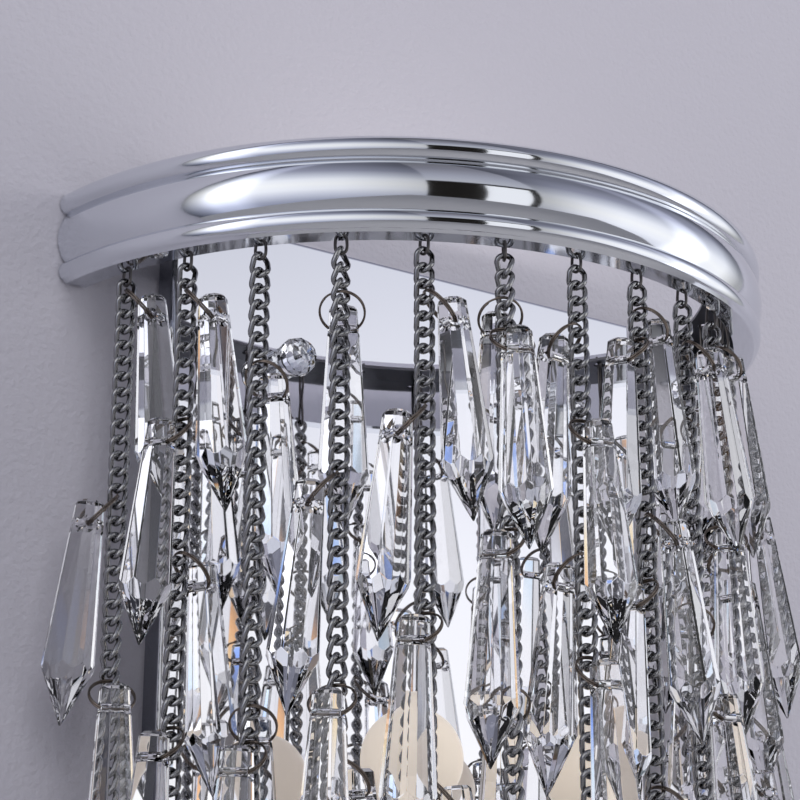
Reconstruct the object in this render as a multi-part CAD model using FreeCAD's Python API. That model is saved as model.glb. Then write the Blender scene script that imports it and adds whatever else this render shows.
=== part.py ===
"""Half-round crystal wall sconce: a reeded rim and a mirror plate with fourteen hanging strands.

Frame: +Z up, the front faces -Y, the wall is the plane y = 0. Origin: on the wall, halfway
between the two screw holes of the wall crossbar. All sizes are millimetres.
"""
import FreeCAD, Part
import math
import os

# Rim band: three beads turned in polished metal, cut flat where it meets the wall
GROOVE_RADIUS = 150.0
RIM_CENTRE_Y = 16.0
RIM_BOTTOM = 19.5
RIM_HEIGHT = 33.0
LOWER_GROOVE = 6.9
UPPER_GROOVE = 25.0
LOWER_BEAD_BULGE = 2.0
MIDDLE_BEAD_BULGE = 3.0
UPPER_BEAD_BULGE = 2.8
EDGE_ROUNDING = 0.9
RIM_INNER_RADIUS = 147.5
FLANGE_INNER_RADIUS = 141.2
FLANGE_THICKNESS = 1.2

# Ledge inside the rim that carries the hooks, and the bar behind the plate that carries both
LEDGE_INNER_RADIUS = 131.0
LEDGE_BOTTOM = 44.0
LEDGE_THICKNESS = 1.2
LEDGE_WALL_GAP = 1.0
HOOK_HOLE_RADIUS = 2.9
BACK_BAR_HEIGHT = 9.0
BACK_BAR_THICKNESS = 3.0

# Mirror plate: a shallow pan of polished sheet
PLATE_WIDTH = 223.0
PLATE_TOP = 51.5
PLATE_BOTTOM = -270.0
PLATE_FRONT_Y = -11.6
PLATE_SHEET = 1.2
PLATE_CORNER = 2.0
RETURN_WALL_GAP = 1.0
PLATE_STUD_HOLE_RADIUS = 2.9

# Wall crossbar, its two studs, and the finials that clamp the plate
CROSSBAR_LENGTH = 156.0
CROSSBAR_HEIGHT = 20.0
CROSSBAR_THICKNESS = 3.0
WALL_HOLE_SPACING = 60.0
WALL_HOLE_RADIUS = 2.6
STUD_SPREAD = 66.0
STUD_RADIUS = 2.5
STUD_END_Y = -16.0
LOCK_NUT_ACROSS_CORNERS = 9.2
LOCK_NUT_THICKNESS = 3.5
FINIAL_NUT_RADIUS = 6.0
FINIAL_NUT_LENGTH = 5.0
FINIAL_FLUTES = 18
FINIAL_FLUTE_RADIUS = 0.6
FINIAL_NECK_RADIUS = 3.2
FINIAL_NECK_LENGTH = 1.0
FINIAL_BALL_RADIUS = 7.4
FINIAL_BALL_FACETS = 12

# Lamps on a bent strap in front of the plate
LAMP_X = 40.0
LAMP_Y = -60.0
SHELF_Z = -220.0
STRAP_SHEET = 1.5
STRAP_WIDTH = 112.0
STRAP_LEG = 26.0
STRAP_REACH = 66.0
HOLDER_RADIUS = 12.5
HOLDER_HEIGHT = 34.0
HOLDER_SOCKET_RADIUS = 8.0
HOLDER_FLOOR = 6.0
BULB_CAP_RADIUS = 7.2
BULB_CAP_HEIGHT = 26.0
BULB_RADIUS = 17.5
BULB_HEIGHT = 56.0
BULB_NECK_RADIUS = 7.0
SCREW_RADIUS = 2.0
SCREW_HEAD_RADIUS = 3.6
SCREW_HEAD_HEIGHT = 1.8
BRACKET_SCREW_X = 44.0
TERMINAL_SIZE = (26.0, 6.0, 14.0)
TERMINAL_Z = -40.0
GROMMET_RADIUS = 5.0
GROMMET_BORE = 2.6
WIRE_TUBE_RADIUS = 1.1

# Chain: open curb links of round wire
WIRE_RADIUS = 0.95
LINK_PITCH = 5.7
LINK_WIDTH = 7.4
LINK_HALF_LENGTH = 3.85
LINK_COUNT = 48
FIRST_LINK_DROP = 6.3

# Hairpin hooks that hang the chains from the ledge
STRAND_COUNT = 14
FIRST_STRAND_ANGLE = -75.4
STRAND_STEP = 11.6
HOOK_CIRCLE_RADIUS = 138.0
HOOK_WIRE_RADIUS = 0.6
HOOK_HALF_WIDTH = 2.0
HOOK_TAIL = 3.0
HOOK_CLEARANCE = 0.25

# Round rings that join each crystal to its link
RING_RADIUS = 7.6
RING_WIRE_RADIUS = 0.55
RING_SLACK = 0.87
RING_REACH = 9.8

# Crystals: eight-sided icicles with a belt of hexagon facets and a pyramid tip
CRYSTAL_LENGTH = 76.0
CRYSTAL_HOLE_DROP = 8.0
CRYSTAL_HOLE_RADIUS = 1.55
HOLE_FLARE_START = 4.1
HOLE_FLARE_DEPTH = 2.5
CRYSTAL_CAP_WIDTH = 9.2
CRYSTAL_BELT_DROP = 56.0
CRYSTAL_BELT_WIDTH = 16.6
CRYSTAL_BELT_LENGTH = 8.0
CRYSTAL_LEAN = 5.0
SIDES = 8

# Crystals on each strand, as (drop of its link below the rim, direction in degrees from
# straight ahead, positive to the right)
STRANDS = (
    ((6, 50), (80, -105), (143, -15), (217, 50)),
    ((12, 45), (58, -75), (103, 90), (160, -65), (194, 45)),
    ((40, 115), (155, 138), (166, -55), (240, -20)),
    ((18, 140), (80, -125), (149, -50), (172, 95)),
    ((18, 60), (58, -110), (126, -60), (177, 60), (240, -45)),
    ((18, 160), (29, -15), (98, -65), (149, 160), (217, -15)),
    ((23, -155), (58, -5), (103, -155), (137, -5), (200, -125)),
    ((12, 95), (23, -85), (86, 50), (109, -85), (177, 95), (189, -85)),
    ((18, 60), (46, -175), (115, 150), (143, 15), (194, 150)),
    ((12, 90), (80, -30), (98, 90), (166, 30), (194, 150)),
    ((6, -170), (69, 40), (80, -170), (149, -140), (166, 100), (234, 40)),
    ((23, 170), (58, -10), (132, -100), (143, 50), (206, -175)),
    ((23, 140), (86, 65), (98, -145), (166, -115), (189, 125)),
    ((18, 75), (58, -92), (98, 75), (143, -92), (177, 75)),
)

UP = FreeCAD.Vector(0, 0, 1)
ACROSS = FreeCAD.Vector(1, 0, 0)
TO_WALL = FreeCAD.Vector(0, 1, 0)
BIG = 1000.0


def point(x, y, z):
    return FreeCAD.Vector(x, y, z)


def save(shape, name):
    shape.exportStep("parts/" + name + ".step")


def box(x0, x1, y0, y1, z0, z1):
    return Part.makeBox(x1 - x0, y1 - y0, z1 - z0, point(x0, y0, z0))


def rod(radius, length, base, direction):
    return Part.makeCylinder(radius, length, base, direction)


def placed(shape, base, turn=0.0, lean=0.0):
    """A copy leaned about its own Y axis, turned about Z, and moved to base."""
    copy = shape.copy()
    turned = FreeCAD.Rotation(UP, turn)
    leaned = FreeCAD.Rotation(TO_WALL, lean)
    copy.Placement = FreeCAD.Placement(base, turned.multiply(leaned)).multiply(shape.Placement)
    return copy


def heading(azimuth):
    """Level direction at an azimuth from straight ahead (-Y), positive to the right (+X)."""
    angle = math.radians(azimuth)
    return point(math.sin(angle), -math.cos(angle), 0)


def in_front_of_wall(shape, gap=0.0):
    return shape.common(box(-BIG, BIG, -BIG, -gap, -BIG, BIG))


def turned_about_rim(outline):
    """A face in the r-z half plane turned round the rim's vertical axis."""
    ring = outline.revolve(point(0, 0, 0), UP, 360)
    ring.translate(point(0, RIM_CENTRE_Y, 0))
    return ring


def at(radius, height):
    return point(radius, 0, height)


def arc(start, middle, end):
    return Part.Arc(start, middle, end).toShape()


def line(start, end):
    return Part.LineSegment(start, end).toShape()


def rim_band():
    low = RIM_BOTTOM
    groove_1 = at(GROOVE_RADIUS, low + LOWER_GROOVE)
    groove_2 = at(GROOVE_RADIUS, low + UPPER_GROOVE)
    top = low + RIM_HEIGHT
    foot = at(GROOVE_RADIUS, low)
    crown = at(GROOVE_RADIUS, top)
    flange_low = low - EDGE_ROUNDING
    lower_middle = at(GROOVE_RADIUS + LOWER_BEAD_BULGE, low + LOWER_GROOVE / 2)
    middle_middle = at(GROOVE_RADIUS + MIDDLE_BEAD_BULGE, low + (LOWER_GROOVE + UPPER_GROOVE) / 2)
    upper_middle = at(GROOVE_RADIUS + UPPER_BEAD_BULGE, low + (UPPER_GROOVE + RIM_HEIGHT) / 2)
    outline = Part.Wire([
        line(at(FLANGE_INNER_RADIUS, flange_low), at(GROOVE_RADIUS - EDGE_ROUNDING, flange_low)),
        line(at(GROOVE_RADIUS - EDGE_ROUNDING, flange_low), foot),
        arc(foot, lower_middle, groove_1),
        arc(groove_1, middle_middle, groove_2),
        arc(groove_2, upper_middle, crown),
        line(crown, at(RIM_INNER_RADIUS, top)),
        line(at(RIM_INNER_RADIUS, top), at(RIM_INNER_RADIUS, flange_low + FLANGE_THICKNESS)),
        line(at(RIM_INNER_RADIUS, flange_low + FLANGE_THICKNESS),
             at(FLANGE_INNER_RADIUS, flange_low + FLANGE_THICKNESS)),
        line(at(FLANGE_INNER_RADIUS, flange_low + FLANGE_THICKNESS),
             at(FLANGE_INNER_RADIUS, flange_low)),
    ])
    return in_front_of_wall(turned_about_rim(Part.Face(outline)))


def strand_place(number):
    """Centre line of a strand, on the hook circle."""
    angle = FIRST_STRAND_ANGLE + STRAND_STEP * number
    return heading(angle) * HOOK_CIRCLE_RADIUS + point(0, RIM_CENTRE_Y, 0)


def hook_ledge():
    outer = rod(RIM_INNER_RADIUS, LEDGE_THICKNESS, point(0, RIM_CENTRE_Y, LEDGE_BOTTOM), UP)
    inner = rod(LEDGE_INNER_RADIUS, LEDGE_THICKNESS, point(0, RIM_CENTRE_Y, LEDGE_BOTTOM), UP)
    ledge = in_front_of_wall(outer.cut(inner), LEDGE_WALL_GAP)
    holes = [rod(HOOK_HOLE_RADIUS, LEDGE_THICKNESS, strand_place(n) + UP * LEDGE_BOTTOM, UP)
             for n in range(STRAND_COUNT)]
    return ledge.cut(holes)


def rim_back_bar():
    back = PLATE_FRONT_Y + PLATE_SHEET
    bar = box(-GROOVE_RADIUS, GROOVE_RADIUS, back, back + BACK_BAR_THICKNESS,
              LEDGE_BOTTOM - BACK_BAR_HEIGHT, LEDGE_BOTTOM)
    inside_rim = rod(RIM_INNER_RADIUS, BIG, point(0, RIM_CENTRE_Y, 0), UP)
    return bar.common(inside_rim)


def mirror_plate(bar):
    half = PLATE_WIDTH / 2
    outer = box(-half, half, PLATE_FRONT_Y, -RETURN_WALL_GAP, PLATE_BOTTOM, PLATE_TOP)
    front_edges = [edge for edge in outer.Edges
                   if edge.BoundBox.YMax < PLATE_FRONT_Y + 0.1]
    outer = outer.makeFillet(PLATE_CORNER, front_edges)
    hollow = box(-half + PLATE_SHEET, half - PLATE_SHEET, PLATE_FRONT_Y + PLATE_SHEET, 0,
                 PLATE_BOTTOM + PLATE_SHEET, PLATE_TOP - PLATE_SHEET)
    stud_holes = [rod(PLATE_STUD_HOLE_RADIUS, BIG, point(x, -BIG / 2, 0), TO_WALL)
                  for x in (-STUD_SPREAD, STUD_SPREAD)]
    screw_holes = [rod(SCREW_RADIUS, BIG, point(x, -BIG / 2, bracket_screw_z()), TO_WALL)
                   for x in (-BRACKET_SCREW_X, BRACKET_SCREW_X)]
    tube_hole = rod(GROMMET_RADIUS, BIG, point(0, -BIG / 2, grommet_z()), TO_WALL)
    return outer.cut([hollow, bar, tube_hole] + stud_holes + screw_holes)


def bracket_screw_z():
    return SHELF_Z - STRAP_LEG / 2


def grommet_z():
    return SHELF_Z - STRAP_LEG - GROMMET_RADIUS - 3.0


def wall_crossbar():
    half = CROSSBAR_LENGTH / 2
    bar = box(-half, half, -CROSSBAR_THICKNESS, 0, -CROSSBAR_HEIGHT / 2, CROSSBAR_HEIGHT / 2)
    ends = [edge for edge in bar.Edges
            if abs(edge.BoundBox.ZLength) < 0.1 and abs(edge.BoundBox.XLength) < 0.1]
    bar = bar.makeFillet(CROSSBAR_HEIGHT / 4, ends)
    holes = [rod(WALL_HOLE_RADIUS, CROSSBAR_THICKNESS, point(x, 0, 0), -TO_WALL)
             for x in (-WALL_HOLE_SPACING / 2, WALL_HOLE_SPACING / 2)]
    holes += [rod(STUD_RADIUS, CROSSBAR_THICKNESS, point(x, 0, 0), -TO_WALL)
              for x in (-STUD_SPREAD, STUD_SPREAD)]
    return bar.cut(holes)


def stud(x):
    return rod(STUD_RADIUS, -STUD_END_Y, point(x, 0, 0), -TO_WALL)


def lock_nut(x):
    centre = point(x, -CROSSBAR_THICKNESS, 0)
    corners = [centre + point(math.cos(math.radians(60 * i)), 0, math.sin(math.radians(60 * i)))
               * (LOCK_NUT_ACROSS_CORNERS / 2) for i in range(7)]
    nut = Part.Face(Part.makePolygon(corners)).extrude(point(0, -LOCK_NUT_THICKNESS, 0))
    return nut.cut(stud(x))


def finial_nut(x):
    base = point(x, PLATE_FRONT_Y, 0)
    body = rod(FINIAL_NUT_RADIUS, FINIAL_NUT_LENGTH, base, -TO_WALL)
    neck = rod(FINIAL_NECK_RADIUS, FINIAL_NUT_LENGTH + FINIAL_NECK_LENGTH, base, -TO_WALL)
    flutes = []
    for i in range(FINIAL_FLUTES):
        angle = math.radians(360.0 * i / FINIAL_FLUTES)
        offset = point(math.cos(angle), 0, math.sin(angle)) * FINIAL_NUT_RADIUS
        flutes.append(rod(FINIAL_FLUTE_RADIUS, FINIAL_NUT_LENGTH, base + offset, -TO_WALL))
    return body.cut(flutes).fuse(neck).cut(stud(x))


def finial_ball(x):
    """A cut crystal ball: stacked eight-sided rings, with a flat where it meets its neck."""
    centre_y = PLATE_FRONT_Y - FINIAL_NUT_LENGTH - FINIAL_NECK_LENGTH - FINIAL_BALL_RADIUS * 0.92
    layers = []
    for tilt in (-67.0, -45.0, -22.5, 0.0, 22.5, 45.0, 67.0):
        radius = FINIAL_BALL_RADIUS * math.cos(math.radians(tilt))
        y = centre_y - FINIAL_BALL_RADIUS * math.sin(math.radians(tilt))
        ring = [point(x + radius * math.cos(2 * math.pi * i / FINIAL_BALL_FACETS), y,
                      radius * math.sin(2 * math.pi * i / FINIAL_BALL_FACETS))
                for i in range(FINIAL_BALL_FACETS + 1)]
        layers.append(Part.makePolygon(ring))
    return Part.makeLoft(layers, True, True)


def lamp_bracket():
    half = STRAP_WIDTH / 2
    leg = box(-half, half, PLATE_FRONT_Y - STRAP_SHEET, PLATE_FRONT_Y, SHELF_Z - STRAP_LEG, SHELF_Z)
    shelf = box(-half, half, PLATE_FRONT_Y - STRAP_REACH, PLATE_FRONT_Y,
                SHELF_Z - STRAP_SHEET, SHELF_Z)
    strap = leg.fuse(shelf).removeSplitter()
    tube_holes = [rod(WIRE_TUBE_RADIUS + 0.6, STRAP_LEG, point(x, LAMP_Y, SHELF_Z - STRAP_LEG), UP)
                  for x in (-LAMP_X, LAMP_X)]
    screw_holes = [rod(SCREW_RADIUS, BIG, point(x, -BIG / 2, bracket_screw_z()), TO_WALL)
                   for x in (-BRACKET_SCREW_X, BRACKET_SCREW_X)]
    return strap.cut(tube_holes + screw_holes)


def bracket_screw(x):
    under_head = point(x, PLATE_FRONT_Y - STRAP_SHEET, bracket_screw_z())
    head = rod(SCREW_HEAD_RADIUS, SCREW_HEAD_HEIGHT, under_head, -TO_WALL)
    shank = rod(SCREW_RADIUS, STRAP_SHEET + PLATE_SHEET + 3.0, under_head, TO_WALL)
    return head.fuse(shank)


def lampholder(x):
    base = point(x, LAMP_Y, SHELF_Z)
    body = rod(HOLDER_RADIUS, HOLDER_HEIGHT, base, UP)
    socket = rod(HOLDER_SOCKET_RADIUS, HOLDER_HEIGHT, base + UP * HOLDER_FLOOR, UP)
    tube_hole = rod(WIRE_TUBE_RADIUS + 0.6, HOLDER_FLOOR, base, UP)
    return body.cut(socket).cut(tube_hole)


def bulb_cap(x):
    base = point(x, LAMP_Y, SHELF_Z + HOLDER_FLOOR + 2.5)
    return rod(BULB_CAP_RADIUS, BULB_CAP_HEIGHT, base, UP)


def bulb(x):
    """Small globe bulb: a straight neck, a cone, and a round globe."""
    low = SHELF_Z + HOLDER_FLOOR + 2.5 + BULB_CAP_HEIGHT
    middle = low + BULB_HEIGHT - BULB_RADIUS
    start = math.radians(-40)
    shoulder = at(BULB_RADIUS * math.cos(start), middle + BULB_RADIUS * math.sin(start))
    outline = Part.Wire([
        line(at(0, low), at(BULB_NECK_RADIUS, low)),
        line(at(BULB_NECK_RADIUS, low), at(BULB_NECK_RADIUS, low + BULB_NECK_RADIUS)),
        line(at(BULB_NECK_RADIUS, low + BULB_NECK_RADIUS), shoulder),
        arc(shoulder, at(BULB_RADIUS, middle), at(0, low + BULB_HEIGHT)),
        line(at(0, low + BULB_HEIGHT), at(0, low)),
    ])
    glass = Part.Face(outline).revolve(point(0, 0, 0), UP, 360)
    glass.translate(point(x, LAMP_Y, 0))
    return glass


def terminal_block():
    width, depth, height = TERMINAL_SIZE
    back = PLATE_FRONT_Y + PLATE_SHEET
    return box(-width / 2, width / 2, back, back + depth, TERMINAL_Z - height, TERMINAL_Z)


def grommet():
    front = PLATE_FRONT_Y - 1.5
    base = point(0, front, grommet_z())
    collar = rod(GROMMET_RADIUS + 1.5, 1.5, base, TO_WALL)
    sleeve = rod(GROMMET_RADIUS, 1.5 + PLATE_SHEET, base, TO_WALL)
    return collar.fuse(sleeve).cut(rod(GROMMET_BORE, BIG, base, TO_WALL))


def tube(corners, bend, radius):
    """A round wire along straight runs joined by arcs of one bend radius."""
    edges = []
    start = corners[0]
    for before, corner, after in zip(corners, corners[1:], corners[2:]):
        arriving = (corner - before).normalize()
        leaving = (after - corner).normalize()
        turn = arriving.getAngle(leaving)
        reach = bend * math.tan(turn / 2)
        first = corner - arriving * reach
        last = corner + leaving * reach
        towards_centre = (leaving - arriving).normalize()
        centre = corner + towards_centre * (bend / math.cos(turn / 2))
        edges.append(line(start, first))
        edges.append(arc(first, centre - towards_centre * bend, last))
        start = last
    edges.append(line(start, corners[-1]))
    path = Part.Wire(edges)
    section = Part.Wire(Part.makeCircle(radius, corners[0], corners[1] - corners[0]))
    return path.makePipeShell([section], True, False)


def wire_tube(side):
    """Rigid steel tube for the wires: from the grommet, under the shelf, up into a lampholder."""
    x = side * LAMP_X
    low = grommet_z()
    through = point(side * 1.3, PLATE_FRONT_Y + PLATE_SHEET, low)
    out = point(side * 1.3, LAMP_Y * 0.55, low)
    under = point(x, LAMP_Y, low)
    return tube([through, out, under, point(x, LAMP_Y, SHELF_Z + HOLDER_FLOOR)], 8.0, WIRE_TUBE_RADIUS)


def chain_link():
    """One link: round wire bent to an oval, standing in the XZ plane about the origin."""
    side = LINK_WIDTH / 2 - WIRE_RADIUS
    straight = LINK_HALF_LENGTH - side
    upper_half = box(-LINK_WIDTH, LINK_WIDTH, -LINK_WIDTH, LINK_WIDTH, 0, LINK_WIDTH)
    bend = Part.makeTorus(side, WIRE_RADIUS, point(0, 0, 0), TO_WALL).common(upper_half)
    upper = placed(bend, UP * straight)
    lower = bend.copy()
    lower.rotate(point(0, 0, 0), TO_WALL, 180)
    lower.translate(UP * -straight)
    legs = [rod(WIRE_RADIUS, 2 * straight, point(x, 0, -straight), UP) for x in (-side, side)]
    return upper.fuse([lower] + legs).removeSplitter()


def link_height(index):
    return RIM_BOTTOM - FIRST_LINK_DROP - LINK_PITCH * index


def link_at_drop(drop):
    return max(0, round((drop - FIRST_LINK_DROP) / LINK_PITCH))


def chain_facing(crystals, index):
    """Azimuth of the wide side of the even links; the odd ones stand square to them.

    Each ring passes straight through its link, so the chain turns slowly in between.
    """
    knots = []
    for drop, azimuth in crystals:
        facing = azimuth - 90 * (link_at_drop(drop) % 2)
        if knots:
            facing += 180 * round((knots[-1][1] - facing) / 180)
        knots.append((link_at_drop(drop), facing))
    if index <= knots[0][0]:
        return knots[0][1]
    for (low, first), (high, second) in zip(knots, knots[1:]):
        if index <= high:
            return first + (second - first) * (index - low) / (high - low)
    return knots[-1][1]


def chain(number, link):
    links = []
    for index in range(LINK_COUNT):
        turn = chain_facing(STRANDS[number], index) + 90 * (index % 2) - 90
        links.append(placed(link, strand_place(number) + UP * link_height(index), turn))
    return Part.makeCompound(links)


def hook(number):
    """Hairpin of wire: two tails on the ledge, two legs, and a bend under the first link."""
    top = LEDGE_BOTTOM + LEDGE_THICKNESS + HOOK_WIRE_RADIUS + HOOK_CLEARANCE
    link_wire = link_height(0) + LINK_HALF_LENGTH
    bend = link_wire - WIRE_RADIUS - HOOK_WIRE_RADIUS - HOOK_CLEARANCE
    leg = HOOK_HALF_WIDTH
    tail_bend = 1.0
    wire = Part.Wire([
        line(point(0, -leg - HOOK_TAIL, top), point(0, -leg - tail_bend, top)),
        arc(point(0, -leg - tail_bend, top),
            point(0, -leg - tail_bend * (1 - math.sqrt(0.5)), top - tail_bend * (1 - math.sqrt(0.5))),
            point(0, -leg, top - tail_bend)),
        line(point(0, -leg, top - tail_bend), point(0, -leg, bend + leg)),
        arc(point(0, -leg, bend + leg), point(0, 0, bend), point(0, leg, bend + leg)),
        line(point(0, leg, bend + leg), point(0, leg, top - tail_bend)),
        arc(point(0, leg, top - tail_bend),
            point(0, leg + tail_bend * (1 - math.sqrt(0.5)), top - tail_bend * (1 - math.sqrt(0.5))),
            point(0, leg + tail_bend, top)),
        line(point(0, leg + tail_bend, top), point(0, leg + HOOK_TAIL, top)),
    ])
    section = Part.Wire(Part.makeCircle(HOOK_WIRE_RADIUS, point(0, -leg - HOOK_TAIL, top), TO_WALL))
    shape = wire.makePipeShell([section], True, False)
    turn = chain_facing(STRANDS[number], 0) - 90
    return placed(shape, strand_place(number), turn)


def ring():
    """A round ring in the XZ plane that hangs from the origin by its inside."""
    torus = Part.makeTorus(RING_RADIUS, RING_WIRE_RADIUS, point(0, 0, -RING_RADIUS), TO_WALL)
    return torus


def rings(number):
    """Rings lean from the link out to the crystal, square to the direction it hangs in."""
    hang = 2 * RING_RADIUS - RING_SLACK
    lean = -math.degrees(math.asin(RING_REACH / hang))
    square = ring()
    square.rotate(point(0, 0, 0), UP, 90)
    made = []
    for drop, azimuth in STRANDS[number]:
        link_centre = strand_place(number) + UP * link_height(link_at_drop(drop))
        made.append(placed(square, link_centre, azimuth - 90, lean))
    return Part.makeCompound(made)


def octagon(across, height, offset=0.0):
    reach = across / 2 / math.cos(math.pi / SIDES)
    corners = [point(reach * math.cos(math.pi * (2 * i + 1 + offset) / SIDES),
                     reach * math.sin(math.pi * (2 * i + 1 + offset) / SIDES), height)
               for i in range(SIDES + 1)]
    return Part.makePolygon(corners)


def frustum(across_high, high, across_low, low, offset=0.0):
    return Part.makeLoft([octagon(across_high, high, offset), octagon(across_low, low, offset)],
                         True, True)


def crystal():
    """Built with its hole at the origin and its length along -Z; the hole runs along Y."""
    top = CRYSTAL_HOLE_DROP
    belt = top - CRYSTAL_BELT_DROP
    tip = top - CRYSTAL_LENGTH
    spread = (CRYSTAL_BELT_WIDTH - CRYSTAL_CAP_WIDTH) / CRYSTAL_BELT_DROP
    body = frustum(CRYSTAL_CAP_WIDTH, top, CRYSTAL_CAP_WIDTH + spread * CRYSTAL_LENGTH, tip)
    belt_slope = 0.42
    belt_low = belt - CRYSTAL_BELT_LENGTH
    belt_top_width = CRYSTAL_BELT_WIDTH * 1.06
    belt_cut = frustum(belt_top_width + belt_slope * 2 * (top - belt), top,
                       belt_top_width - belt_slope * 2 * (belt - tip) * 0.9,
                       belt - (belt - tip) * 0.9, 1.0)
    tip_width = belt_top_width - belt_slope * 2 * CRYSTAL_BELT_LENGTH
    tip_slope = tip_width / (belt_low - tip)
    tip_cut = frustum(tip_slope * (top - tip), top, 0.4, tip)
    cap_bevel = frustum(CRYSTAL_CAP_WIDTH - 2.2, top, CRYSTAL_CAP_WIDTH + 2.2 * CRYSTAL_LENGTH, tip)
    shape = body.common(belt_cut).common(tip_cut).common(cap_bevel)
    hole = rod(CRYSTAL_HOLE_RADIUS, 4 * CRYSTAL_CAP_WIDTH, point(0, -2 * CRYSTAL_CAP_WIDTH, 0), TO_WALL)
    flares = [Part.makeCone(CRYSTAL_HOLE_RADIUS, CRYSTAL_HOLE_RADIUS + HOLE_FLARE_DEPTH,
                            HOLE_FLARE_DEPTH, point(0, side * HOLE_FLARE_START, 0), TO_WALL * side)
              for side in (-1, 1)]
    return shape.cut([hole] + flares)


def crystals(number, piece):
    """Each hangs from the far side of its ring and leans away from the chain."""
    hang = 2 * RING_RADIUS - RING_SLACK
    fall = math.sqrt(hang ** 2 - RING_REACH ** 2)
    made = []
    for drop, azimuth in STRANDS[number]:
        link_centre = strand_place(number) + UP * link_height(link_at_drop(drop))
        hole = link_centre + heading(azimuth) * RING_REACH - UP * fall
        made.append(placed(piece, hole, azimuth - 90, -CRYSTAL_LEAN))
    return Part.makeCompound(made)


def pair(make, spread):
    return Part.makeCompound([make(-spread), make(spread)])


def main():
    os.makedirs("parts", exist_ok=True)
    bar = rim_back_bar()
    save(rim_band(), "rim_band")
    save(hook_ledge(), "hook_ledge")
    save(bar, "rim_back_bar")
    save(mirror_plate(bar), "mirror_plate")
    save(wall_crossbar(), "wall_crossbar")
    save(pair(stud, STUD_SPREAD), "crossbar_studs")
    save(pair(lock_nut, STUD_SPREAD), "stud_lock_nuts")
    save(pair(finial_nut, STUD_SPREAD), "finial_nuts")
    save(pair(finial_ball, STUD_SPREAD), "finial_balls")
    save(lamp_bracket(), "lamp_bracket")
    save(pair(bracket_screw, BRACKET_SCREW_X), "bracket_screws")
    save(pair(lampholder, LAMP_X), "lampholders")
    save(pair(bulb_cap, LAMP_X), "bulb_caps")
    save(pair(bulb, LAMP_X), "bulbs")
    save(terminal_block(), "terminal_block")
    save(grommet(), "grommet")
    save(pair(wire_tube, 1), "wire_tubes")
    link = chain_link()
    icicle = crystal()
    hooks = []
    for number in range(STRAND_COUNT):
        label = "%02d" % (number + 1)
        hooks.append(hook(number))
        save(chain(number, link), "chain_" + label)
        save(rings(number), "rings_" + label)
        save(crystals(number, icicle), "crystals_" + label)
    save(Part.makeCompound(hooks), "chain_hooks")


main()
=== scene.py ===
import math

import bmesh
import bpy
from mathutils import Matrix, Vector


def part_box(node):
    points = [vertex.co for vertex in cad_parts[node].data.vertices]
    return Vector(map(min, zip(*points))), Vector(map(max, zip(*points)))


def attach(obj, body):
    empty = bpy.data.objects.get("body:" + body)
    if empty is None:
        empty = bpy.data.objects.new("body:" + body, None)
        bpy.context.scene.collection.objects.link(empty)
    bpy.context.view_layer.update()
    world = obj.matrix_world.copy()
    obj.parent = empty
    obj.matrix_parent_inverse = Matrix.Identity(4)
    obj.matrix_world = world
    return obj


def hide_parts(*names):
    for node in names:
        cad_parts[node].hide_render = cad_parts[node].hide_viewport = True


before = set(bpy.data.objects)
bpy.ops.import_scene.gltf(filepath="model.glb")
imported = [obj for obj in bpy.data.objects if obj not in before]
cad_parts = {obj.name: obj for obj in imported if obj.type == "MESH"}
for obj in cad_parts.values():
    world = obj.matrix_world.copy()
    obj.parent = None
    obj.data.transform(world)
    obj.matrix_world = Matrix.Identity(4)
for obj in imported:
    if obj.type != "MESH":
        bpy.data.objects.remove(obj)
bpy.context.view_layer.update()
bpy.context.scene.view_settings.view_transform = "Standard"


# ---- Camera -------------------------------------------------------------------------------
# A camera below and to the left of the sconce, looking up at the underside of the rim.
# Its place and lens put the rim ends, the finial and the fourteen chains on their pixels.
camera = bpy.data.objects.new("camera", bpy.data.cameras.new("camera"))
camera.data.sensor_width = 36.0
camera.data.lens = 84.307
camera.location = (-0.4160, -0.5789, -0.2111)
camera.rotation_euler = (math.radians(106.57), 0.0, math.radians(-35.57))
bpy.context.scene.collection.objects.link(camera)
bpy.context.scene.camera = camera


# ---- Wall and floor -----------------------------------------------------------------------
# A plastered wall painted a cool grey with a breath of lilac, and a pale floor far below.
# Rolled paint leaves a very fine orange-peel, so the wall has a low, close bump.
def shader_group(name, inputs, outputs):
    """A named node group with inputs (name, number or colour) and outputs (name, socket type)."""
    group = bpy.data.node_groups.new(name, "ShaderNodeTree")
    for label, value in inputs:
        kind = "NodeSocketColor" if isinstance(value, tuple) else "NodeSocketFloat"
        socket = group.interface.new_socket(label, in_out="INPUT", socket_type=kind)
        socket.default_value = value
    for label, kind in outputs:
        group.interface.new_socket(label, in_out="OUTPUT", socket_type=kind)
    return group, group.nodes.new("NodeGroupInput"), group.nodes.new("NodeGroupOutput")


def shaded(name, colour, roughness, metallic=0.0):
    """A material whose one Principled shader holds the plain values of the finish."""
    material = bpy.data.materials.new(name)
    material.use_nodes = True
    shader = material.node_tree.nodes["Principled BSDF"]
    shader.inputs["Base Color"].default_value = (*colour, 1.0)
    shader.inputs["Roughness"].default_value = roughness
    shader.inputs["Metallic"].default_value = metallic
    return material, shader


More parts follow.
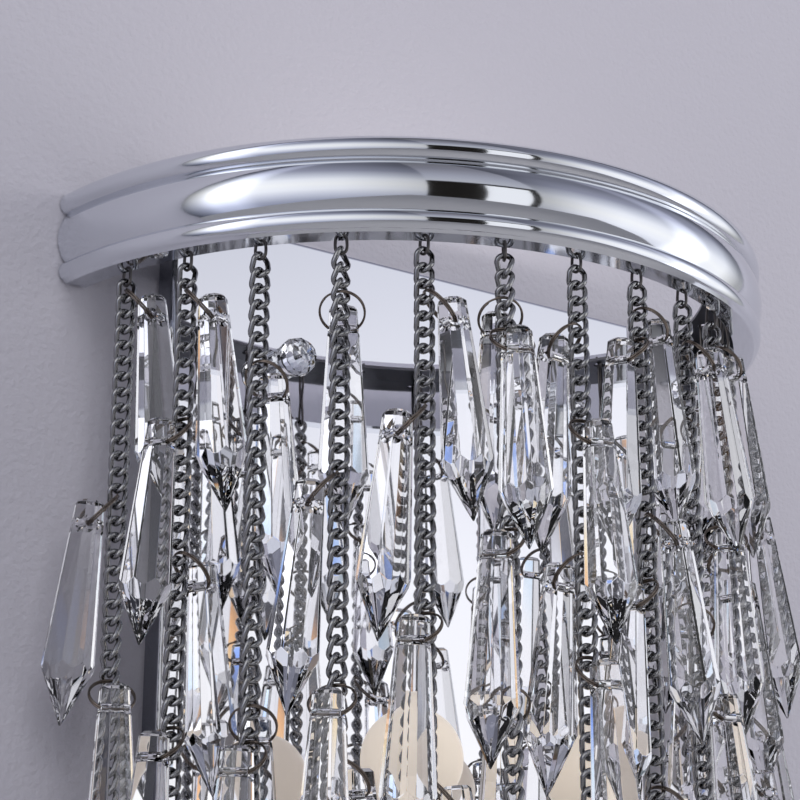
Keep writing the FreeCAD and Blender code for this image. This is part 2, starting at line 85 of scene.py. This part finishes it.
def fine_relief_group():
    """Bump from noise fixed to the object: grain and depth are both in millimetres."""
    group, given, result = shader_group(
        "fine relief", [("Grain", 1.0), ("Depth", 0.01)], [("Normal", "NodeSocketVector")])
    nodes, links = group.nodes, group.links
    place = nodes.new("ShaderNodeTexCoord")
    scale = nodes.new("ShaderNodeMath")
    scale.operation = "DIVIDE"
    scale.inputs[0].default_value = 1000.0
    noise = nodes.new("ShaderNodeTexNoise")
    noise.inputs["Detail"].default_value = 3.0
    depth = nodes.new("ShaderNodeMath")
    depth.operation = "MULTIPLY"
    depth.inputs[1].default_value = 0.001
    bump = nodes.new("ShaderNodeBump")
    links.new(given.outputs["Grain"], scale.inputs[1])
    links.new(scale.outputs[0], noise.inputs["Scale"])
    links.new(place.outputs["Object"], noise.inputs["Vector"])
    links.new(given.outputs["Depth"], depth.inputs[0])
    links.new(depth.outputs[0], bump.inputs["Distance"])
    links.new(noise.outputs["Fac"], bump.inputs["Height"])
    links.new(bump.outputs["Normal"], result.inputs["Normal"])
    return group


fine_relief = fine_relief_group()


def add_relief(material, shader, grain, depth):
    tree = material.node_tree
    node = tree.nodes.new("ShaderNodeGroup")
    node.node_tree = fine_relief
    node.inputs["Grain"].default_value = grain
    node.inputs["Depth"].default_value = depth
    tree.links.new(node.outputs["Normal"], shader.inputs["Normal"])


def flat_panel(name, width, height, centre, turn, material):
    mesh = bpy.data.meshes.new(name)
    half_w, half_h = width / 2, height / 2
    corners = [(-half_w, -half_h, 0), (half_w, -half_h, 0),
               (half_w, half_h, 0), (-half_w, half_h, 0)]
    mesh.from_pydata(corners, [], [(0, 1, 2, 3)])
    panel = bpy.data.objects.new(name, mesh)
    panel.matrix_world = Matrix.Translation(centre) @ turn
    mesh.materials.append(material)
    bpy.context.scene.collection.objects.link(panel)


wall_paint, wall_shader = shaded("lilac grey wall paint", (0.45, 0.436, 0.49), 0.8)
add_relief(wall_paint, wall_shader, 2.6, 0.5)
floor_finish, floor_shader = shaded("pale floor", (0.62, 0.61, 0.60), 0.6)
add_relief(floor_finish, floor_shader, 6.0, 0.2)
WALL_GAP = 0.0006
facing_room = Matrix.Rotation(math.radians(90), 4, "X")
flat_panel("wall", 5.0, 4.0, Vector((0, WALL_GAP, 0.6)), facing_room, wall_paint)
flat_panel("floor", 5.0, 5.0, Vector((0, -2.4, -1.4)), Matrix.Identity(4), floor_finish)


# ---- Light --------------------------------------------------------------------------------
# Plain studio light: a broad soft lamp above and in front, and a weaker one to the right.
# The metal and the crystals mirror a studio: a broad pale screen to each side, dim above and
# below, and in the middle a dark recess with one bright pane and a khaki tone under it.
def soft_lamp(name, width, height, power, place, target, colour=(1, 1, 1)):
    lamp = bpy.data.lights.new(name, "AREA")
    lamp.shape = "RECTANGLE"
    lamp.size, lamp.size_y = width, height
    lamp.energy = power
    lamp.color = colour
    hang_light(name, lamp, place, Vector(target) - Vector(place))


def hang_light(name, lamp, place, towards):
    """Put a light in its place. Metal and glass show the screens of the room, not the lamps."""
    holder = bpy.data.objects.new(name, lamp)
    holder.location = place
    holder.rotation_euler = towards.to_track_quat("-Z", "Y").to_euler()
    holder.visible_glossy = holder.visible_transmission = False
    bpy.context.scene.collection.objects.link(holder)
    return holder


soft_lamp("lamp above", 1.6, 1.0, 19.0, (-0.5, -1.5, 1.5), (0, 0, 0))
soft_lamp("lamp right", 0.8, 1.2, 12.0, (1.7, -1.2, 0.2), (0, 0, -0.05), (1.0, 0.98, 0.96))

room = bpy.data.worlds.new("room")
room.use_nodes = True
bpy.context.scene.world = room
room_nodes, room_links = room.node_tree.nodes, room.node_tree.links


def room_math(operation, first, second=None, third=None):
    """A sum in the world's nodes, of numbers or of other nodes' outputs."""
    node = room_nodes.new("ShaderNodeMath")
    node.operation = operation
    for socket, value in zip(node.inputs, (first, second, third)):
        if isinstance(value, (int, float)):
            socket.default_value = value
        elif value is not None:
            room_links.new(value, socket)
    return node.outputs[0]


def room_ramp(driver, low, high, stops):
    """Colours at values of the driver between low and high, blended in between."""
    node = room_nodes.new("ShaderNodeValToRGB")
    elements = node.color_ramp.elements
    while len(elements) > 1:
        elements.remove(elements[-1])
    for i, (value, colour) in enumerate(stops):
        place = (value - low) / (high - low)
        element = elements[0] if i == 0 else elements.new(place)
        element.position = place
        element.color = (*colour, 1) if isinstance(colour, tuple) else (colour, colour, colour, 1)
    span = room_math("MULTIPLY_ADD", driver, 1 / (high - low), -low / (high - low))
    room_links.new(span, node.inputs["Fac"])
    return node.outputs["Color"]


def room_mix(how_much, first, second, blend="MIX"):
    """Two colours mixed or multiplied in the world's nodes."""
    node = room_nodes.new("ShaderNodeMix")
    node.data_type, node.blend_type = "RGBA", blend
    colour_in = [socket for socket in node.inputs if socket.type == "RGBA"]
    given = (how_much, first, second)
    for socket, value in zip([node.inputs[0]] + colour_in, given):
        if isinstance(value, tuple):
            socket.default_value = (*value, 1)
        elif isinstance(value, (int, float)):
            socket.default_value = value
        else:
            room_links.new(value, socket)
    return [socket for socket in node.outputs if socket.type == "RGBA"][0]


def between(driver, low, high):
    """One where the driver lies between low and high, and nothing elsewhere."""
    above = room_math("GREATER_THAN", driver, low)
    return room_math("MULTIPLY", above, room_math("LESS_THAN", driver, high))


direction = room_nodes.new("ShaderNodeTexCoord")
split = room_nodes.new("ShaderNodeSeparateXYZ")
room_links.new(direction.outputs["Generated"], split.inputs[0])
forward = room_math("MULTIPLY", split.outputs["Y"], -1.0)
in_degrees = 180 / math.pi
bearing = room_math("MULTIPLY", room_math("ARCTAN2", split.outputs["X"], forward), in_degrees)
rise = room_math("MULTIPLY", room_math("ARCSINE", split.outputs["Z"]), in_degrees)
screen_lean = 0.18
leaned = room_math("MULTIPLY_ADD", bearing, screen_lean, rise)
by_height = room_ramp(leaned, -90, 90, [
    (-90, (0.20, 0.20, 0.23)), (-66, (0.17, 0.175, 0.22)), (-48, (0.22, 0.235, 0.31)),
    (-34, (0.36, 0.38, 0.48)), (-20, (0.64, 0.66, 0.76)), (-6, (0.93, 0.94, 0.99)), (6, 1.0),
    (18, (0.90, 0.91, 0.96)), (28, (0.62, 0.64, 0.72)), (42, (0.30, 0.31, 0.39)),
    (60, (0.16, 0.165, 0.21)), (90, (0.12, 0.12, 0.14))])
by_bearing = room_ramp(bearing, -180, 180, [
    (-180, 0.22), (-97, 0.22), (-92, 0.08), (-86, 0.42), (-82, 0.85), (-76, 0.85), (-70, 0.50),
    (-46, 0.43), (-23, 0.28), (12, 0.26), (24, 0.42), (36, 0.50), (54, 0.50), (60, 0.85),
    (66, 0.85), (72, 0.50), (80, 0.50), (90, 0.20), (97, 0.22), (180, 0.22)])
dim_studio = room_mix(1.0, by_height, by_bearing, "MULTIPLY")
studio = room_mix(1.0, dim_studio, (2.0, 2.0, 2.0), "MULTIPLY")
recess = between(bearing, -22.5, 9.5)
dark_recess = room_ramp(rise, -90, 90, [
    (-90, (0.13, 0.12, 0.10)), (-60, (0.15, 0.14, 0.10)), (-28, (0.22, 0.19, 0.10)),
    (-24, (0.20, 0.175, 0.09)), (-22, (0.012, 0.011, 0.010)), (23, (0.012, 0.011, 0.010)),
    (25, (0.44, 0.45, 0.50)), (40, (0.34, 0.35, 0.41)), (60, (0.20, 0.20, 0.24)), (90, 0.12)])
with_recess = room_mix(recess, studio, dark_recess)
pane = room_math("MULTIPLY", between(bearing, -6.0, 7.0), between(rise, -19.0, 20.0))
whole_room = room_mix(pane, with_recess, (0.86, 0.87, 0.90))

# Cut glass splits what it shows into colours, so light through it sees fringed edges.
light_path = room_nodes.new("ShaderNodeLightPath")
fringe_slant, fringe_width = 0.45, 26.0
slant = room_math("MULTIPLY_ADD", rise, fringe_slant, bearing)
fringe_place = room_math("PINGPONG", slant, fringe_width)
fringes = room_ramp(fringe_place, 0, fringe_width, [
    (0, 1.0), (4.4, 1.0), (5.2, (1.0, 0.80, 0.45)), (5.9, (0.95, 0.48, 0.18)),
    (6.5, (0.05, 0.05, 0.06)), (7.7, (0.05, 0.05, 0.07)), (8.4, (0.20, 0.38, 0.95)),
    (9.3, (0.72, 0.88, 1.0)), (10.4, 1.0), (20, (0.85, 0.85, 0.87)),
    (21.5, (0.35, 0.35, 0.37)), (23, (0.88, 0.88, 0.90)), (26, 1.0)])
fringed = room_mix(0.9, room_mix(0.6, whole_room, (0.92, 0.92, 0.95)), fringes, "MULTIPLY")
shown_room = room_mix(light_path.outputs["Is Transmission Ray"], whole_room, fringed)
room_links.new(shown_room, room_nodes["Background"].inputs["Color"])
room_nodes["Background"].inputs["Strength"].default_value = 1.2


# ---- Rim and what holds it ----------------------------------------------------------------
# The rim is one band of brass sheet rolled to three beads, bent to a half round and chromed.
# Inside it a flat ring of plain sheet carries the hooks, and a bar behind the plate ties both.
def polish_marks_group():
    """Roughness of a hand-wiped polish: faint clouds of haze over a base value."""
    group, given, result = shader_group(
        "polish marks", [("Base", 0.04), ("Haze", 0.04)], [("Roughness", "NodeSocketFloat")])
    nodes, links = group.nodes, group.links
    place = nodes.new("ShaderNodeTexCoord")
    clouds = nodes.new("ShaderNodeTexNoise")
    clouds.inputs["Scale"].default_value = 38.0
    clouds.inputs["Detail"].default_value = 5.0
    haze = nodes.new("ShaderNodeMath")
    haze.operation = "MULTIPLY_ADD"
    links.new(place.outputs["Object"], clouds.inputs["Vector"])
    links.new(clouds.outputs["Fac"], haze.inputs[0])
    links.new(given.outputs["Haze"], haze.inputs[1])
    links.new(given.outputs["Base"], haze.inputs[2])
    links.new(haze.outputs[0], result.inputs["Roughness"])
    return group


polish_marks = polish_marks_group()


def polished(name, colour, base, haze, grain, depth):
    """A metal with clouded roughness and a fine relief."""
    material, shader = shaded(name, colour, base, 1.0)
    tree = material.node_tree
    marks = tree.nodes.new("ShaderNodeGroup")
    marks.node_tree = polish_marks
    marks.inputs["Base"].default_value = base
    marks.inputs["Haze"].default_value = haze
    tree.links.new(marks.outputs["Roughness"], shader.inputs["Roughness"])
    add_relief(material, shader, grain, depth)
    return material


def dress(node, material):
    """Give a CAD node that keeps its own shape its finish."""
    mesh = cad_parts[node].data
    mesh.materials.clear()
    mesh.materials.append(material)


chrome = polished("polished chrome", (0.75, 0.77, 0.81), 0.045, 0.04, 9.0, 0.004)
plain_steel = polished("plain steel sheet", (0.52, 0.52, 0.53), 0.28, 0.16, 1.6, 0.01)
dress("rim_band", chrome)
dress("rim_back_bar", plain_steel)
# The ledge is plain sheet, coloured near black as painted shade: it stands for the shadow inside
# the rim, which the mirror plate shows.
ledge_painted_shade = polished("ledge steel with painted shade", (0.15, 0.15, 0.16), 0.22, 0.16, 1.6, 0.01)
dress("hook_ledge", ledge_painted_shade)


# ---- Mirror plate -------------------------------------------------------------------------
# A pan of stainless sheet polished to a mirror, with its edges bent back to the wall.
# It doubles the chains and throws the lamplight back into the crystals.
def returns_painted_shade_group():
    """Colour of the sheet: full polish on its face, with painted shade darkening the bent side
    returns.
    """
    group, inside, outside = shader_group(
        "face and painted shade on returns", [("Face", (0.8, 0.8, 0.8, 1)), ("Return", (0.3, 0.3, 0.3, 1))],
        [("Color", "NodeSocketColor")])
    nodes, links = group.nodes, group.links
    facing = nodes.new("ShaderNodeTexCoord")
    parts = nodes.new("ShaderNodeSeparateXYZ")
    links.new(facing.outputs["Normal"], parts.inputs[0])
    sideways = nodes.new("ShaderNodeMath")
    sideways.operation = "ABSOLUTE"
    links.new(parts.outputs["X"], sideways.inputs[0])
    blend = nodes.new("ShaderNodeMix")
    blend.data_type = "RGBA"
    links.new(sideways.outputs[0], blend.inputs[0])
    colours = [socket for socket in blend.inputs if socket.type == "RGBA"]
    links.new(inside.outputs["Face"], colours[0])
    links.new(inside.outputs["Return"], colours[1])
    toned = [socket for socket in blend.outputs if socket.type == "RGBA"][0]
    links.new(toned, outside.inputs["Color"])
    return group


# The second colour is painted shade: it darkens the sideways-facing returns to stand for the
# shadowed wall that they mirror.
silver, painted_shade_silver = (0.84, 0.84, 0.87), (0.27, 0.28, 0.31)
mirror_polish = polished("mirror polish", silver, 0.012, 0.02, 30.0, 0.006)
plate_tree = mirror_polish.node_tree
tone = plate_tree.nodes.new("ShaderNodeGroup")
tone.node_tree = returns_painted_shade_group()
tone.inputs["Face"].default_value = (*silver, 1)
tone.inputs["Return"].default_value = (*painted_shade_silver, 1)
plate_shader = plate_tree.nodes["Principled BSDF"]
plate_tree.links.new(tone.outputs["Color"], plate_shader.inputs["Base Color"])
dress("mirror_plate", mirror_polish)


# ---- Wall crossbar and finials ------------------------------------------------------------
# A pressed steel bar is screwed to the wall. Two studs stand out of it through the plate,
# and a fluted nut with a cut crystal ball on each stud clamps the plate.
for node in ("wall_crossbar", "crossbar_studs", "stud_lock_nuts"):
    dress(node, plain_steel)
dress("finial_nuts", chrome)


lead_crystal, crystal_shader = shaded("cut lead crystal", (0.99, 0.99, 1.0), 0.0)
crystal_shader.inputs["Transmission Weight"].default_value = 1.0
crystal_shader.inputs["IOR"].default_value = 1.53
dress("finial_balls", lead_crystal)


# ---- Lamps --------------------------------------------------------------------------------
# A bent strap of sheet on the plate carries two porcelain lampholders with small globe bulbs.
# Rigid steel tubes bring the wires from a terminal block behind the plate.
bulb_tint = (1.0, 0.88, 0.74)
glass_glow, glow_shader = shaded("frosted bulb glow", bulb_tint, 0.3)
glow_shader.inputs["Emission Color"].default_value = (*bulb_tint, 1.0)
glow_shader.inputs["Emission Strength"].default_value = 0.32
porcelain, porcelain_shader = shaded("glazed porcelain", (0.85, 0.83, 0.79), 0.18)
porcelain_shader.inputs["Coat Weight"].default_value = 0.5
add_relief(porcelain, porcelain_shader, 5.0, 0.02)
brass = polished("bulb cap brass", (0.72, 0.55, 0.28), 0.25, 0.15, 1.0, 0.01)
moulding, moulding_shader = shaded("terminal moulding", (0.72, 0.72, 0.68), 0.45)
add_relief(moulding, moulding_shader, 0.6, 0.01)
rubber, rubber_shader = shaded("black rubber", (0.03, 0.03, 0.03), 0.6)
add_relief(rubber, rubber_shader, 0.5, 0.02)
BULB_RADIUS = 0.0175
LAMPLIGHT_HEIGHT = -0.045
bulbs_low, bulbs_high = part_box("bulbs")
for x in (bulbs_low[0] + BULB_RADIUS, bulbs_high[0] - BULB_RADIUS):
    lamplight = bpy.data.lights.new("lamplight", "SPOT")
    lamplight.spot_size, lamplight.spot_blend = math.radians(95), 1.0
    lamplight.energy, lamplight.shadow_soft_size = 0.45, 0.012
    lamplight.color = (1.0, 0.96, 0.93)
    place = (x, (bulbs_low[1] + bulbs_high[1]) / 2, LAMPLIGHT_HEIGHT)
    hung_light = hang_light("lamplight", lamplight, place, Vector((0, 0.30, 1)))
    hung_light.visible_camera = False
dress("bulbs", glass_glow)
dress("bulb_caps", brass)
dress("lampholders", porcelain)
dress("terminal_block", moulding)
dress("grommet", rubber)
for node in ("lamp_bracket", "bracket_screws", "wire_tubes"):
    dress(node, plain_steel)


# ---- Hooks --------------------------------------------------------------------------------
# Each chain hangs from a hairpin of dark spring wire, pushed up through the ledge. Its two
# tails rest on the ledge, the legs are pinched together half way, and a round bend carries
# the first link.
HOOK_CIRCLE = 0.138
RIM_CENTRE = 0.016
FIRST_ANGLE = math.radians(-75.4)
ANGLE_STEP = math.radians(11.6)
RIM_UNDERSIDE = 0.0195
FIRST_LINK = 0.0063
PITCH = 0.0057
LINK_HALF = 0.00385
LINK_TWIST = math.radians(44)
CHAIN_FACE = 54.0
RING_SLANT = 38.0
STRANDS = (
    ((6, 50), (80, -105), (143, -15), (217, 50)),
    ((12, 45), (58, -75), (103, 90), (160, -65), (194, 45)),
    ((40, 115), (155, 138), (166, -55), (240, -20)),
    ((18, 140), (80, -125), (149, -50), (172, 95)),
    ((18, 60), (58, -110), (126, -60), (177, 60), (240, -45)),
    ((18, 160), (29, -15), (98, -65), (149, 160), (217, -15)),
    ((23, -155), (58, -5), (103, -155), (137, -5), (200, -125)),
    ((12, 95), (23, -85), (86, 50), (109, -85), (177, 95), (189, -85)),
    ((18, 60), (46, -175), (115, 150), (143, 15), (194, 150)),
    ((12, 90), (80, -30), (98, 90), (166, 30), (194, 150)),
    ((6, -170), (69, 40), (80, -170), (149, -140), (166, 100), (234, 40)),
    ((23, 170), (58, -10), (132, -100), (143, 50), (206, -175)),
    ((23, 140), (86, 65), (98, -145), (166, -115), (189, 125)),
    ((18, 75), (58, -92), (98, 75), (143, -92), (177, 75)),
)


def strand_place(number):
    angle = FIRST_ANGLE + ANGLE_STEP * number
    return Vector((HOOK_CIRCLE * math.sin(angle), RIM_CENTRE - HOOK_CIRCLE * math.cos(angle), 0))


def link_index(drop):
    return max(0, round((drop / 1000 - FIRST_LINK) / PITCH))


def link_centre(number, index):
    return strand_place(number) + Vector((0, 0, RIM_UNDERSIDE - FIRST_LINK - PITCH * index))


def facing_for(azimuth):
    """Wide side of a link that holds a ring: as near CHAIN_FACE as the ring's slant allows."""
    away = (azimuth - CHAIN_FACE + 90) % 180 - 90
    return CHAIN_FACE + math.copysign(max(0, abs(away) - RING_SLANT), away)


def chain_facing(number, index):
    """Azimuth in degrees of the wide side of a link, turning slowly between the crystals."""
    knots = [(link_index(drop), facing_for(azimuth)) for drop, azimuth in STRANDS[number]]
    if index <= knots[0][0]:
        return knots[0][1]
    for (low, first), (high, second) in zip(knots, knots[1:]):
        if index <= high:
            return first + (second - first) * (index - low) / (high - low)
    return knots[-1][1]


def swept_wire(bm, path, radius, closed, sides=10):
    """Sweep a round section along a path, turning it as little as possible on the way."""
    count = len(path)
    span = range(count)
    ahead = [path[(i + 1) % count] if closed or i < count - 1 else path[i] for i in span]
    behind = [path[i - 1] if closed or i else path[i] for i in span]
    lines = [(a - b).normalized() for a, b in zip(ahead, behind)]
    side = lines[0].orthogonal().normalized()
    sides_at = []
    for tangent in lines:
        side = (side - tangent * side.dot(tangent)).normalized()
        sides_at.append(side)
    slip = 0.0
    if closed:
        back = (side - lines[0] * side.dot(lines[0])).normalized()
        slip = back.angle(sides_at[0])
        if back.cross(sides_at[0]).dot(lines[0]) < 0:
            slip = -slip
    loops = []
    for i, (centre, tangent, side) in enumerate(zip(path, lines, sides_at)):
        across = tangent.cross(side)
        turn = slip * i / count
        loop = []
        for j in range(sides):
            angle = 2 * math.pi * j / sides + turn
            outwards = side * math.cos(angle) + across * math.sin(angle)
            loop.append(bm.verts.new(centre + outwards * radius))
        loops.append(loop)
    following = loops[1:] + loops[:1] if closed else loops[1:]
    for first, second in zip(loops, following):
        for j in range(sides):
            k = (j + 1) % sides
            bm.faces.new((first[j], first[k], second[k], second[j]))
    if not closed:
        bm.faces.new(list(reversed(loops[0])))
        bm.faces.new(loops[-1])
    for face in bm.faces:
        face.smooth = True


def finished_mesh(bm, name):
    bmesh.ops.recalc_face_normals(bm, faces=bm.faces)
    mesh = bpy.data.meshes.new(name)
    bm.to_mesh(mesh)
    bm.free()
    return mesh


def joined(name, mesh, places, material):
    """One object made of copies of a mesh, one for each matrix."""
    bm = bmesh.new()
    for place in places:
        before = len(bm.verts)
        bm.from_mesh(mesh)
        bm.verts.ensure_lookup_table()
        bmesh.ops.transform(bm, matrix=place, verts=bm.verts[before:])
    whole = bpy.data.meshes.new(name)
    bm.to_mesh(whole)
    bm.free()
    whole.materials.append(material)
    piece = bpy.data.objects.new(name, whole)
    bpy.context.scene.collection.objects.link(piece)
    return piece


def smooth_path(knots, between):
    """Points on a soft curve through the knots."""
    points = []
    ends = [2 * knots[0] - knots[1]] + list(knots) + [2 * knots[-1] - knots[-2]]
    for a, b, c, d in zip(ends, ends[1:], ends[2:], ends[3:]):
        for i in range(between):
            t = i / between
            points.append(0.5 * (2 * b + (c - a) * t + (2 * a - 5 * b + 4 * c - d) * t * t
                                 + (3 * b - a - 3 * c + d) * t * t * t))
    points.append(knots[-1])
    return points


hook_wire = polished("dark spring wire", (0.13, 0.12, 0.115), 0.24, 0.12, 0.8, 0.006)
LEDGE_TOP = 0.0452
hook_radius = 0.00055
half_gap = 0.0020
bend_low = RIM_UNDERSIDE - FIRST_LINK + LINK_HALF - 0.0018
hook_side = [(half_gap + 0.003, LEDGE_TOP + 0.0008), (half_gap + 0.0008, LEDGE_TOP + 0.0007),
             (half_gap - 0.0001, LEDGE_TOP - 0.0010), (half_gap - 0.0002, LEDGE_TOP - 0.0110),
             (0.0009, LEDGE_TOP - 0.0180), (0.0017, LEDGE_TOP - 0.0235),
             (half_gap, bend_low + 0.0028), (half_gap * 0.78, bend_low + 0.0008)]
hook_knots = [Vector((0, -y, z)) for y, z in hook_side] + [Vector((0, 0, bend_low))]
hook_knots += [Vector((0, y, z)) for y, z in reversed(hook_side)]
hook_bm = bmesh.new()
swept_wire(hook_bm, smooth_path(hook_knots, 5), hook_radius, False)
hook_mesh = finished_mesh(hook_bm, "hook template")
hook_places = [Matrix.Translation(strand_place(n))
               @ Matrix.Rotation(math.radians(chain_facing(n, 0) - 90) + LINK_TWIST, 4, "Z")
               for n in range(len(STRANDS))]
hooks = joined("hairpin_hooks", hook_mesh, hook_places, hook_wire)
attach(hooks, "fixture")
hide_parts("chain_hooks")


# ---- Chains -------------------------------------------------------------------------------
# Fourteen lengths of curb chain: round wire bent to ovals, soldered shut, then each link
# twisted so that the chain lies flat, and the whole plated a dark gunmetal chrome.
gunmetal = polished("gunmetal plate", (0.33, 0.33, 0.335), 0.02, 0.03, 1.2, 0.0015)
LINKS = 48
link_wire = 0.00098
link_side = 0.00275
link_straight = LINK_HALF - link_side


def link_path(steps):
    """Once round an oval link, twisted by its height."""
    path = []
    for i in range(steps):
        angle = 2 * math.pi * i / steps
        x = link_side * math.cos(angle)
        z = link_side * math.sin(angle) + math.copysign(link_straight, math.sin(angle))
        twist = LINK_TWIST * z / LINK_HALF
        path.append(Vector((x * math.cos(twist), x * math.sin(twist), z)))
    return path


link_bm = bmesh.new()
swept_wire(link_bm, link_path(26), link_wire, True, 10)
link_mesh = finished_mesh(link_bm, "link template")
for number in range(len(STRANDS)):
    label = "%02d" % (number + 1)
    places = [Matrix.Translation(link_centre(number, i))
              @ Matrix.Rotation(math.radians(chain_facing(number, i) - 90), 4, "Z")
              for i in range(LINKS)]
    chain = joined("curb_chain_" + label, link_mesh, places, gunmetal)
    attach(chain, "strand_" + label)
    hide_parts("chain_" + label)


# ---- Split rings --------------------------------------------------------------------------
# Every crystal hangs from a split ring: two turns of springy dark wire, slipped through a
# link and through the hole of the crystal. The ring leans out from the chain.
RING_RADIUS = 0.0076
RING_SLACK = 0.00087
RING_REACH = 0.0098
ring_hang = 2 * RING_RADIUS - RING_SLACK
ring_fall = math.sqrt(ring_hang ** 2 - RING_REACH ** 2)
ring_lean = -math.asin(RING_REACH / ring_hang)
turn_wire = 0.00037


def ring_path():
    """Two turns side by side, which change sides on a short slant."""
    path = []
    steps, turns, crossing, steepness = 84, 1.94, 0.97, 14
    for i in range(steps + 1):
        turn = turns * i / steps
        angle = 2 * math.pi * turn + 0.8
        aside = turn_wire * 1.03 * math.tanh((turn - crossing) * steepness)
        sideways, upwards = math.sin(angle), math.cos(angle) - 1
        path.append(Vector((aside, RING_RADIUS * sideways, RING_RADIUS * upwards)))
    return path


ring_bm = bmesh.new()
swept_wire(ring_bm, ring_path(), turn_wire, False, 8)
ring_mesh = finished_mesh(ring_bm, "ring template")
ring_steel = polished("bronzed ring wire", (0.20, 0.165, 0.14), 0.20, 0.12, 0.8, 0.006)


def ring_place(number, drop, azimuth):
    return (Matrix.Translation(link_centre(number, link_index(drop)))
            @ Matrix.Rotation(math.radians(azimuth - 90), 4, "Z")
            @ Matrix.Rotation(ring_lean, 4, "Y"))


for number, hung in enumerate(STRANDS):
    label = "%02d" % (number + 1)
    places = [ring_place(number, drop, azimuth) for drop, azimuth in hung]
    split_rings = joined("split_rings_" + label, ring_mesh, places, ring_steel)
    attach(split_rings, "strand_" + label)
    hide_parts("rings_" + label)


# ---- Crystals -----------------------------------------------------------------------------
# Eight-sided icicles of clear lead crystal: long facets that widen downwards, a belt of
# small facets turned half a step, and a pointed tip. Grinding leaves every edge faintly blunt.
LENGTH = 0.076
HOLE_DROP = 0.008
BELT_DROP = 0.056
BELT_LENGTH = 0.008
EDGE_BLUNT = 0.00009
HOLE_RADIUS = 0.00155
FLARE_START = 0.0041
cap_half = 0.0046
belt_half = 0.0083
belt_slope = 0.42
belt_face = belt_half * 1.06
tip_slope = (belt_face - belt_slope * BELT_LENGTH) / (LENGTH - BELT_DROP - BELT_LENGTH)


def grind(bm, radius, height, slope, first):
    """Grind eight facets, radius from the axis at a height, growing with height by slope."""
    for i in range(8):
        angle = math.pi * (2 * i + first) / 8
        outwards = Vector((math.cos(angle), math.sin(angle), 0))
        normal = (outwards - Vector((0, 0, slope))).normalized()
        cut = bmesh.ops.bisect_plane(
            bm, geom=bm.verts[:] + bm.edges[:] + bm.faces[:], dist=1e-7, plane_no=normal,
            plane_co=outwards * radius + Vector((0, 0, height)), clear_outer=True)
        rim = [piece for piece in cut["geom_cut"] if isinstance(piece, bmesh.types.BMEdge)]
        if len(rim) > 2:
            bmesh.ops.contextual_create(bm, geom=rim)


def icicle_mesh():
    """The hole is at the origin and the length runs down, ground out of a square block."""
    top = HOLE_DROP
    tip = top - LENGTH
    block_width = 0.03
    bm = bmesh.new()
    bmesh.ops.create_cube(bm, size=1.0)
    for vert in bm.verts:
        height = top if vert.co.z > 0 else tip - 0.002
        vert.co = Vector((vert.co.x * block_width, vert.co.y * block_width, height))
    grind(bm, cap_half, top, -(belt_half - cap_half) / BELT_DROP, 0)
    grind(bm, belt_face, top - BELT_DROP, belt_slope, 1)
    grind(bm, 0.00012, tip, tip_slope, 0)
    grind(bm, cap_half - 0.0011, top, -1.1, 0)
    bmesh.ops.remove_doubles(bm, verts=bm.verts, dist=2e-6)
    bmesh.ops.bevel(bm, geom=bm.edges[:], offset=EDGE_BLUNT, segments=1, affect="EDGES",
                    clamp_overlap=True)
    return finished_mesh(bm, "icicle blank")


def drilled(mesh):
    """Drill the cross hole, with ground flares at its mouths."""
    bm = bmesh.new()
    across = Matrix.Rotation(math.pi / 2, 4, "X")
    mouth, sides = 0.02, 24
    wide = HOLE_RADIUS + mouth - FLARE_START
    for y, radius in ((-mouth, wide), (-FLARE_START, HOLE_RADIUS),
                      (FLARE_START, HOLE_RADIUS), (mouth, wide)):
        bmesh.ops.create_circle(bm, segments=sides, radius=radius,
                                matrix=Matrix.Translation((0, y, 0)) @ across)
    bm.verts.ensure_lookup_table()
    circles = [bm.verts[i * sides:(i + 1) * sides] for i in range(4)]
    for first, second in zip(circles, circles[1:]):
        for j in range(sides):
            k = (j + 1) % sides
            bm.faces.new((first[j], first[k], second[k], second[j]))
    bm.faces.new(circles[0])
    bm.faces.new(circles[3])
    drill = bpy.data.objects.new("drill", finished_mesh(bm, "drill"))
    blank = bpy.data.objects.new("blank", mesh)
    for thing in (drill, blank):
        bpy.context.scene.collection.objects.link(thing)
    cut = blank.modifiers.new("hole", "BOOLEAN")
    cut.operation = "DIFFERENCE"
    cut.solver = "EXACT"
    cut.object = drill
    bpy.context.view_layer.update()
    worked = blank.evaluated_get(bpy.context.evaluated_depsgraph_get())
    result = bpy.data.meshes.new_from_object(worked)
    for thing in (drill, blank):
        bpy.data.objects.remove(thing)
    return result


icicle = drilled(icicle_mesh())
crystal_lean = math.radians(-5)
for number, hung in enumerate(STRANDS):
    label = "%02d" % (number + 1)
    places = []
    for drop, azimuth in hung:
        turn = Matrix.Rotation(math.radians(azimuth - 90), 4, "Z")
        hole = link_centre(number, link_index(drop)) + turn @ Vector((RING_REACH, 0, -ring_fall))
        places.append(Matrix.Translation(hole) @ turn @ Matrix.Rotation(crystal_lean, 4, "Y"))
    icicles = joined("icicles_" + label, icicle, places, lead_crystal)
    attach(icicles, "strand_" + label)
    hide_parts("crystals_" + label)
